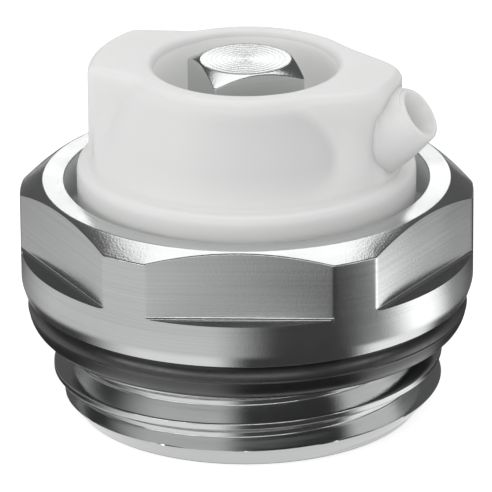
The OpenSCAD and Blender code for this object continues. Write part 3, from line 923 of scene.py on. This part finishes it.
@dataclass
class Studio:
    """Camera, floor, lamps and cards round the plug.

    Attributes:
        elevation: Camera's angle above the horizon in degrees.
        distance_mm: Distance from the camera to its target.
        lens_mm: Focal length on a 36 mm sensor.
        target_z_mm: Height of the point on the plug's axis that the camera looks at.
        roll: Camera's roll in degrees.
    """

    elevation: float = 21.735
    distance_mm: float = 332.3
    lens_mm: float = 456.2
    target_x_mm: float = -0.06
    target_z_mm: float = 8.68
    roll: float = 0.474
    paper_tone: float = 0.85
    card_black: float = 0.06
    far_cards: tuple[FloorCard, ...] = (
        FloorCard("white card on the left", 150.0, -92.0, 60.0, 30.0, 0.74),
        FloorCard("bright strip on the right", -22.0, 5.0, 24.0, 20.0, 1.55),
        FloorCard("dim margin of the bright strip", -40.0, 28.0, 30.0, 40.0, 0.35))
    near_cards: tuple[FloorCard, ...] = (
        FloorCard("white card on the left", -148.0, -97.0, 36.0, 14.0, 1.0),
        FloorCard("bright strip on the right", -45.0, -7.0, 12.0, 14.0, 1.2),
        FloorCard("grey card behind", 40.0, 150.0, 40.0, 20.0, 0.3))

    def camera(self) -> None:
        """Places the camera at the photograph's view."""
        data = bpy.data.cameras.new("photo_view")
        data.lens, data.sensor_width = self.lens_mm, 36.0
        data.clip_start, data.clip_end = 0.01, 10.0
        camera = bpy.data.objects.new("photo_view", data)
        bpy.context.scene.collection.objects.link(camera)
        e = math.radians(self.elevation)
        back = Vector((0, -math.cos(e), math.sin(e)))
        camera.location = Vector((self.target_x_mm, 0, self.target_z_mm)) * MM + back * self.distance_mm * MM
        camera.rotation_mode = "QUATERNION"
        camera.rotation_quaternion = (-back).to_track_quat("-Z", "Y") @ Matrix.Rotation(
            math.radians(-self.roll), 4, "Z").to_quaternion()
        bpy.context.scene.camera = camera

    def lamp(self, name: str, place_mm: tuple, size_mm: tuple, radiance: float, reflected_only: bool = False) -> None:
        """Adds a softbox that the camera doesn't see.

        Args:
            name: Name of the lamp.
            place_mm: Its centre.
            size_mm: Its width and height.
            radiance: How bright its face is. The power is pi times this times the face's area.
            reflected_only: Whether only the shiny parts see it, as they do a dim card hung over the table.
        """
        data = bpy.data.lights.new(name, "AREA")
        data.shape = "RECTANGLE"
        data.size, data.size_y = size_mm[0] * MM, size_mm[1] * MM
        data.energy = math.pi * radiance * data.size * data.size_y
        lamp = bpy.data.objects.new(name, data)
        place, aim = Vector(place_mm) * MM, Vector((0, 0, 10)) * MM
        lamp.location = place
        lamp.rotation_mode = "QUATERNION"
        lamp.rotation_quaternion = (aim - place).to_track_quat("-Z", "Y")
        lamp.visible_camera = False
        lamp.visible_diffuse = not reflected_only
        bpy.context.scene.collection.objects.link(lamp)

    def floor_card(self) -> None:
        """Lays a painted card on the floor round the plug, which only the metal's reflections see.

        The mesh is a ring of radius by direction. Its brightness is that of black card plus the `far_cards`. Between
        26 and 18 mm from the axis, where the thread's reflections meet it, it passes over into the `near_cards`, and
        beside the plug it fades into the bare paper's brightness.
        """
        turns = np.arange(0.0, 360.0, 2.0)
        radii = np.array([9.0, 10.6, 11.2, 11.8, 14.0, 18.0, 20.0, 22.0, 24.0, 26.0, 30.0, 60.0, 120.0])
        fade = np.clip((radii - 10.6) / 1.2, 0.0, 1.0)[:, None]
        near = np.clip((26.0 - radii) / 8.0, 0.0, 1.0)[:, None]
        card = self.card_black + sum(each.tone(turns) for each in self.far_cards) * (1.0 - near)
        card = card + sum(each.tone(turns) for each in self.near_cards) * near
        tone = self.paper_tone * (1.0 - fade) + card * fade
        a = np.radians(turns)[None, :]
        r = radii[:, None]
        grid = np.stack([r * np.cos(a), r * np.sin(a), np.full_like(r * a, 0.05)], axis=-1) * MM
        index = np.arange(grid.shape[0] * grid.shape[1]).reshape(grid.shape[:2])
        low, high = index[:-1], index[1:]
        quads = np.stack([low, high, np.roll(high, -1, axis=1), np.roll(low, -1, axis=1)], axis=-1).reshape(-1, 4)
        mesh = bpy.data.meshes.new("floor_card")
        mesh.from_pydata(grid.reshape(-1, 3), [], quads.tolist())
        paint = mesh.attributes.new("paint", "FLOAT", "POINT")
        paint.data.foreach_set("value", tone.ravel().astype(np.float32))
        material, tree = new_material("painted card, lit evenly")
        brightness = add(tree, "Attribute", {"attribute_name": "paint"}).outputs["Fac"]
        glow = add(tree, "Emission", Color=(1, 1, 1, 1), Strength=brightness)
        add(tree, "OutputMaterial", Surface=glow.outputs[0])
        mesh.materials.append(material)
        card = bpy.data.objects.new("floor_card", mesh)
        card.visible_camera = False
        card.visible_diffuse = False
        card.visible_shadow = False
        bpy.context.scene.collection.objects.link(card)

    def floor(self) -> None:
        """Adds the pale floor. The camera sees it lifted to white, with the plug's shadow kept."""
        material, tree = new_material("pale paper floor")
        path = add(tree, "LightPath")
        paper = add(tree, "BsdfDiffuse", Color=(0.75, 0.75, 0.75, 1.0))
        lift = add(tree, "Math", {"operation": "MULTIPLY"}, in0=path.outputs["Is Camera Ray"], in1=0.6)
        glow = add(tree, "Emission", Color=(1, 1, 1, 1), Strength=lift.outputs[0])
        both = add(tree, "AddShader", in0=paper.outputs[0], in1=glow.outputs[0])
        add(tree, "OutputMaterial", Surface=both.outputs[0])
        mesh = bpy.data.meshes.new("floor")
        r = 3.0
        mesh.from_pydata([(-r, -r, 0), (r, -r, 0), (r, r, 0), (-r, r, 0)], [], [(0, 1, 2, 3)])
        mesh.materials.append(material)
        floor = bpy.data.objects.new("floor", mesh)
        bpy.context.scene.collection.objects.link(floor)

    def world(self) -> None:
        """Lights the room evenly: white for the camera, and dim in the metal's reflections."""
        world = bpy.data.worlds.new("light_tent")
        world.use_nodes = True
        tree = world.node_tree
        tree.nodes.clear()
        path = add(tree, "LightPath")
        soft = add(tree, "MapRange", in0=path.outputs["Is Glossy Ray"], in1=0.0, in2=1.0, in3=0.88, in4=0.12)
        strength = add(tree, "Mix", {"data_type": "FLOAT"}, in0=path.outputs["Is Camera Ray"],
                       in2=soft.outputs[0], in3=1.0)
        shader = add(tree, "Background", Color=(1, 1, 1, 1), Strength=strength.outputs[0])
        add(tree, "OutputWorld", Surface=shader.outputs[0])
        bpy.context.scene.world = world

    def build(self) -> None:
        """Builds the whole studio."""
        self.camera()
        self.world()
        self.floor()
        self.floor_card()
        self.lamp("card overhead", (0, 60, 300), (310, 230), 1.6, reflected_only=True)
        self.lamp("back panel", (0, 300, 130), (130, 76), 1.72)
        self.lamp("front panel", (0, -350, 108), (400, 70), 2.6, reflected_only=True)
        self.lamp("left panel", (-290, -230, 108), (260, 60), 4.6)
        self.lamp("right panel", (320, -170, 110), (180, 70), 2.6, reflected_only=True)


def settle(piece: bpy.types.Object, body: str, slot: str, *nodes: str) -> None:
    """Puts a finished piece on its body in the frame.

    Args:
        piece: The piece.
        body: Body that it rides on.
        slot: The record's material slot; not used.
        nodes: CAD nodes that it stands for.
    """
    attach(piece, body)
    if nodes:
        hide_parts(*nodes)
    LOG.info("%s rides on %s with %d faces", piece.name, body, len(piece.data.polygons))


def main() -> None:
    """Builds the plug's pieces and the studio."""
    logging.basicConfig(level=logging.INFO, format="%(name)s: %(message)s")
    bpy.context.scene.view_settings.view_transform = "Standard"
    turned = NickelPlate("nickel plate over turned brass", Grain.ALONG_WALL, 0.09).build()
    milled = NickelPlate("nickel plate over milled brass flats", Grain.ALONG_WALL, 0.13, streak=0.2).build()
    faced = NickelPlate("nickel plate over faced brass", Grain.CONCENTRIC, 0.06, peening_mm=0.006).build()
    cut = NickelPlate("nickel plate over cut thread", Grain.ALONG_WALL, 0.12, roughness=0.16).build()
    ringed = NickelPlate("nickel plate over coarse facing marks", Grain.RINGS, 0.27, bump_mm=0.006).build()
    # Painted light: the bored recess gets a paler, mostly diffuse copy of the plating, so that it reads lighter than
    # its shade would leave it; its rougher finish is the recess's own
    bored = NickelPlate("nickel plate in the bored recess, painted lighter", Grain.ALONG_WALL, 0.12, colour="#E0E1E1",
                         roughness=0.45, metallic=0.1).build()
    plastic = MouldedPlastic("white moulded plastic").build()
    # Painted light: the cup's inside is a lighter copy of the plastic that also glows evenly, in place of the light
    # that the deep cup gets through its wall
    inside = MouldedPlastic("white moulded plastic, lit through the cup's wall", colour="#F2F3F2", glow=0.09).build()
    rubber = SealRubber("black EPDM rubber").build()

    settle(PlugBody().build(turned, milled, faced, cut, bored), "plug", "nickel_plated_brass", "plug_body")
    settle(CollarRing().build(rubber), "plug", "black_rubber", "collar_o_ring")
    head = OutletHead()
    settle(head.build(plastic, inside), "head", "white_plastic", "outlet_head")
    settle(head.spout(plastic), "head", "white_plastic")
    settle(BleedScrew().build(milled, faced, turned, ringed), "screw", "nickel_plated_brass", "bleed_screw")
    for node in ("spigot_o_ring", "shank_o_ring", "seat_washer"):
        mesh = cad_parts[node].data
        mesh.materials.clear()
        mesh.materials.append(rubber)
        LOG.info("%s keeps its CAD shape", node)
    Studio().build()


if __name__ == "__main__":
    main()
